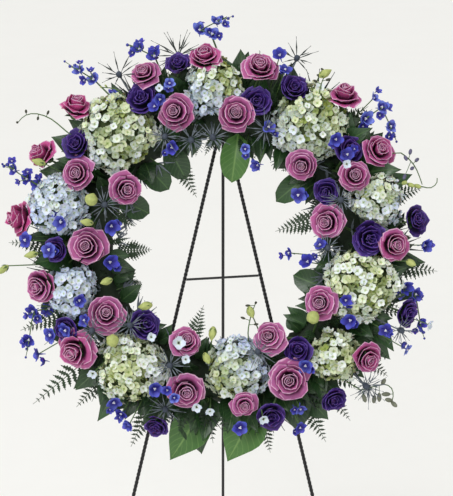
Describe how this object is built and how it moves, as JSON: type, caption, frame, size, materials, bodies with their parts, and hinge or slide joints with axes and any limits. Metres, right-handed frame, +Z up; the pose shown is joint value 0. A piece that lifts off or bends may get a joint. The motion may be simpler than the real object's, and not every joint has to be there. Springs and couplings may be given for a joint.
{
  "type": "funeral wreath",
  "caption": "Round wreath of fresh roses, hydrangeas, lisianthus, delphiniums, sea holly and ferns in a foam ring, hung upright on a folding three-legged wire easel.",
  "frame": {"origin": "on the floor under the middle of the whole object's box", "axes": "+Z up, -Y the side the flowers face, +X to the right of someone who looks at the flowers; the wreath leans back 15 degrees towards +Y"},
  "size_m": [0.796, 0.6664, 1.3316],
  "materials": {
    "wire": "black painted steel wire, half gloss",
    "tray": "dark green moulded tray",
    "foam": "wet green florist's foam",
    "leaf": "fern and salal leaves, dark green, slightly glossy",
    "rose": "mauve-pink petals, lighter at their edges",
    "lisianthus": "deep violet petals",
    "hydrangea": "cream, yellow-green and pale blue petals",
    "delphinium": "bright blue petals with a pale middle",
    "thistle": "grey-blue sea holly"
  },
  "bodies": {
    "front_frame": {"crossbar": "wire", "delphinium_01": "delphinium", "delphinium_02": "delphinium", "delphinium_03": "delphinium", "delphinium_04": "delphinium", "delphinium_05": "delphinium", "delphinium_06": "delphinium", "delphinium_07": "delphinium", "easel_head": "wire", "foam_ring": "foam", "foam_tray": "tray", "front_leg_left": "wire", "front_leg_right": "wire", "greenery_1": "leaf", "greenery_2": "leaf", "greenery_3": "leaf", "greenery_4": "leaf", "greenery_5": "leaf", "greenery_6": "leaf", "hydrangea_01": "hydrangea", "hydrangea_02": "hydrangea", "hydrangea_03": "hydrangea", "hydrangea_04": "hydrangea", "hydrangea_05": "hydrangea", "hydrangea_06": "hydrangea", "hydrangea_07": "hydrangea", "hydrangea_08": "hydrangea", "hydrangea_09": "hydrangea", "hydrangea_10": "hydrangea", "lisianthus_01": "lisianthus", "lisianthus_02": "lisianthus", "lisianthus_03": "lisianthus", "lisianthus_04": "lisianthus", "lisianthus_05": "lisianthus", "lisianthus_06": "lisianthus", "lisianthus_07": "lisianthus", "lisianthus_08": "lisianthus", "lisianthus_09": "lisianthus", "lisianthus_10": "lisianthus", "pivot_pin": "wire", "roses_01": "rose", "roses_02": "rose", "roses_03": "rose", "roses_04": "rose", "roses_05": "rose", "roses_06": "rose", "roses_07": "rose", "roses_08": "rose", "roses_09": "rose", "roses_10": "rose", "roses_11": "rose", "roses_12": "rose", "roses_13": "rose", "roses_14": "rose", "thistle_01": "thistle", "thistle_02": "thistle", "thistle_03": "thistle", "thistle_04": "thistle", "thistle_05": "thistle"},
    "rear_leg": {"rear_leg": "wire"}
  },
  "joints": [
    {"name": "rear_leg_fold", "type": "hinge", "parent": "front_frame", "child": "rear_leg", "pos_m": [0, -0.00919, 1.1432], "axis": [-1, 0, 0], "range_deg": [0, 30.5]}
  ]
}
